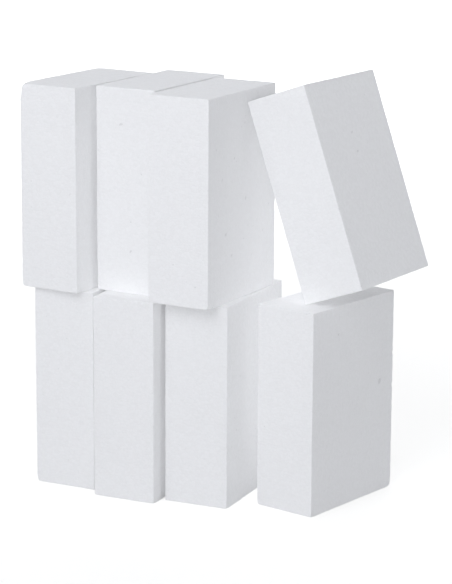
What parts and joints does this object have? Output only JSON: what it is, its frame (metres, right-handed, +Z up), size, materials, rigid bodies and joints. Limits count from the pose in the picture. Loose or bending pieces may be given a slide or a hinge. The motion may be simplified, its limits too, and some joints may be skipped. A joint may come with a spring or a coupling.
{
  "type": "floral foam brick set",
  "caption": "Stack of loose rectangular white bead-foam bricks on end in a lower and an upper row, the end brick tilted and leaning on its neighbour.",
  "frame": {"origin": "middle of the whole set's footprint, on the surface it stands on", "axes": "+Z up, +X along the rows towards the leaning brick, +Y from the front towards the back"},
  "size_m": [0.2718, 0.1538, 0.3116],
  "materials": {
    "bead_foam": "matt hot-wire-cut expanded polystyrene bead foam"
  },
  "bodies": {
    "lower_brick_3": {"lower_brick_3": "bead_foam"},
    "lower_brick_2": {"lower_brick_2": "bead_foam"},
    "lower_brick_1": {"lower_brick_1": "bead_foam"},
    "lower_brick_4": {"lower_brick_4": "bead_foam"},
    "upper_brick_1": {"upper_brick_1": "bead_foam"},
    "upper_brick_2": {"upper_brick_2": "bead_foam"},
    "upper_brick_3": {"upper_brick_3": "bead_foam"},
    "leaning_brick": {"leaning_brick": "bead_foam"}
  },
  "joints": [
    {"name": "lower_brick_2_draw", "type": "slide", "parent": "lower_brick_3", "child": "lower_brick_2", "axis": [-1, 0, 0], "range_m": [0, 0.08]},
    {"name": "lower_brick_1_draw", "type": "slide", "parent": "lower_brick_2", "child": "lower_brick_1", "axis": [-1, 0, 0], "range_m": [0, 0.08]},
    {"name": "lower_brick_4_draw", "type": "slide", "parent": "lower_brick_3", "child": "lower_brick_4", "axis": [1, 0, 0], "range_m": [0, 0.08]},
    {"name": "upper_brick_1_lift", "type": "slide", "parent": "lower_brick_1", "child": "upper_brick_1", "axis": [0, 0, 1], "range_m": [0, 0.17]},
    {"name": "upper_brick_2_lift", "type": "slide", "parent": "lower_brick_2", "child": "upper_brick_2", "axis": [0, 0, 1], "range_m": [0, 0.17]},
    {"name": "upper_brick_3_lift", "type": "slide", "parent": "lower_brick_3", "child": "upper_brick_3", "axis": [0, 0, 1], "range_m": [0, 0.17]},
    {"name": "leaning_brick_lift", "type": "slide", "parent": "lower_brick_4", "child": "leaning_brick", "axis": [0, 0, 1], "range_m": [0, 0.17]}
  ]
}
